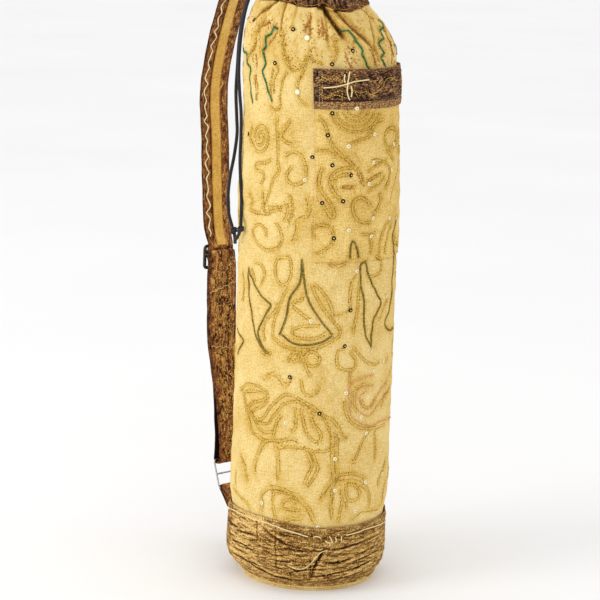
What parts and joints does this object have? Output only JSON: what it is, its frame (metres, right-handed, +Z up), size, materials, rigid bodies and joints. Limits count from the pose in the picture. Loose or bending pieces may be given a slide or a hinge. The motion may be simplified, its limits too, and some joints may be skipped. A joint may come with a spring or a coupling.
{
  "type": "yoga mat bag",
  "caption": "Upright drawstring tube bag of embroidered mustard cotton with a brown base band, patch pocket and adjustable side strap, for carrying a rolled exercise mat.",
  "frame": {"origin": "centre of the base's underside, on the surface that the bag stands on", "axes": "+Z up along the tube, -Y to the front, +X to the side that the pocket wraps round"},
  "size_m": [0.2183, 0.2311, 0.6419],
  "materials": {
    "body_cotton": "mustard cotton canvas with tone-on-tone embroidery",
    "pocket_cotton": "mustard cotton canvas, a little deeper in colour",
    "brown_patchwork": "brown patchwork cloth, crinkled, with gold and cream stitching",
    "strap_cloth": "brown patchwork webbing with gold flecks",
    "stripe_cotton": "ochre cotton",
    "drawcord": "black round braid",
    "dark_metal": "dark bronze",
    "steel_wire": "bright nickel plate"
  },
  "bodies": {
    "root": {"body_tube": "body_cotton", "mouth_casing": "brown_patchwork", "base_disc": "body_cotton", "base_piping": "body_cotton", "base_band": "brown_patchwork", "pocket": "pocket_cotton", "pocket_trim": "brown_patchwork", "strap": "strap_cloth", "strap_stripe": "stripe_cotton", "strap_tab": "strap_cloth", "strap_slider": "dark_metal", "strap_ring": "steel_wire", "drawcord_in_casing": "drawcord", "drawcord_front": "drawcord", "drawcord_back": "drawcord", "knot_front": "drawcord", "knot_back": "drawcord"}
  },
  "joints": []
}
